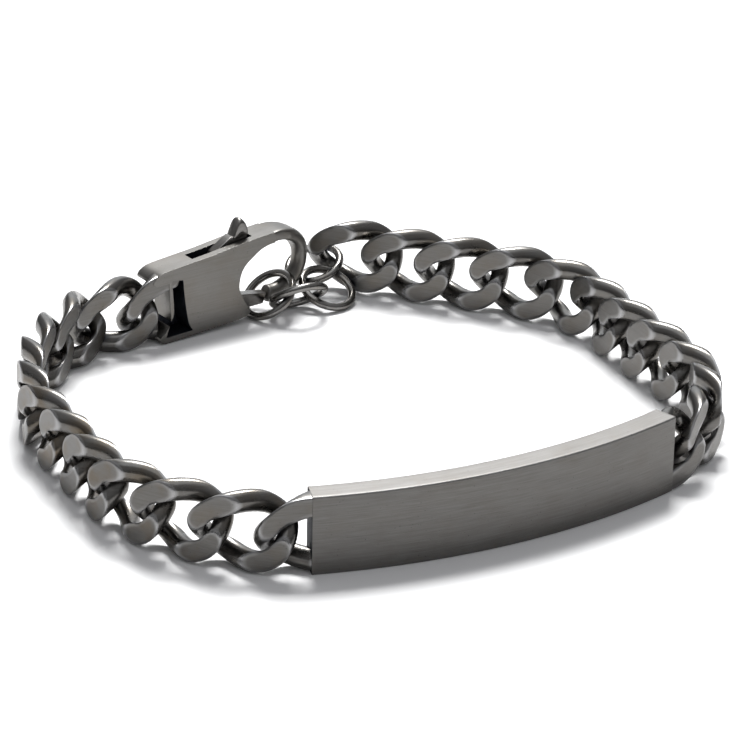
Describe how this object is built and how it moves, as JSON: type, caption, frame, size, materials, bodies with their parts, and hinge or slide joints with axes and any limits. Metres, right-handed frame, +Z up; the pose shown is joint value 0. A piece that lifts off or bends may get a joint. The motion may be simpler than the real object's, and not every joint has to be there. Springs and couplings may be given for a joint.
{
  "type": "id bracelet",
  "caption": "Curb-chain identity bracelet, closed: a curved blank name plate, flat ground links, a lobster clasp with a sprung lever and wire rings.",
  "frame": {"origin": "centre of the bracelet's outer box, on the surface it stands on", "axes": "+Z up along the axis of the loop; -Y is the way the plate faces"},
  "size_m": [0.0676, 0.0666, 0.0116],
  "materials": {
    "band_steel": "brushed lengthwise, darkened, fine wear marks",
    "ring_steel": "polished, darkened"
  },
  "bodies": {
    "bracelet": {"id_plate": "band_steel", "link_left_01": "band_steel", "link_left_02": "band_steel", "link_left_03": "band_steel", "link_left_04": "band_steel", "link_left_05": "band_steel", "link_left_06": "band_steel", "link_left_07": "band_steel", "link_left_08": "band_steel", "link_left_09": "band_steel", "link_left_10": "band_steel", "link_left_11": "band_steel", "link_right_01": "band_steel", "link_right_02": "band_steel", "link_right_03": "band_steel", "link_right_04": "band_steel", "link_right_05": "band_steel", "link_right_06": "band_steel", "link_right_07": "band_steel", "link_right_08": "band_steel", "link_right_09": "band_steel", "link_right_10": "band_steel", "link_right_11": "band_steel", "clasp_body": "band_steel", "jump_ring_1": "ring_steel", "jump_ring_2": "ring_steel", "jump_ring_3": "ring_steel", "jump_ring_4": "ring_steel"},
    "lever": {"clasp_lever": "ring_steel"}
  },
  "joints": [
    {"name": "lever_hinge", "type": "hinge", "parent": "bracelet", "child": "lever", "pos_m": [-0.00111, 0.02626, 0.00415], "axis": [0.1219, -0.9925, 0], "range_deg": [0, 25], "stiffness_Nm_per_rad": 0.002, "springref_deg": -17.19}
  ]
}
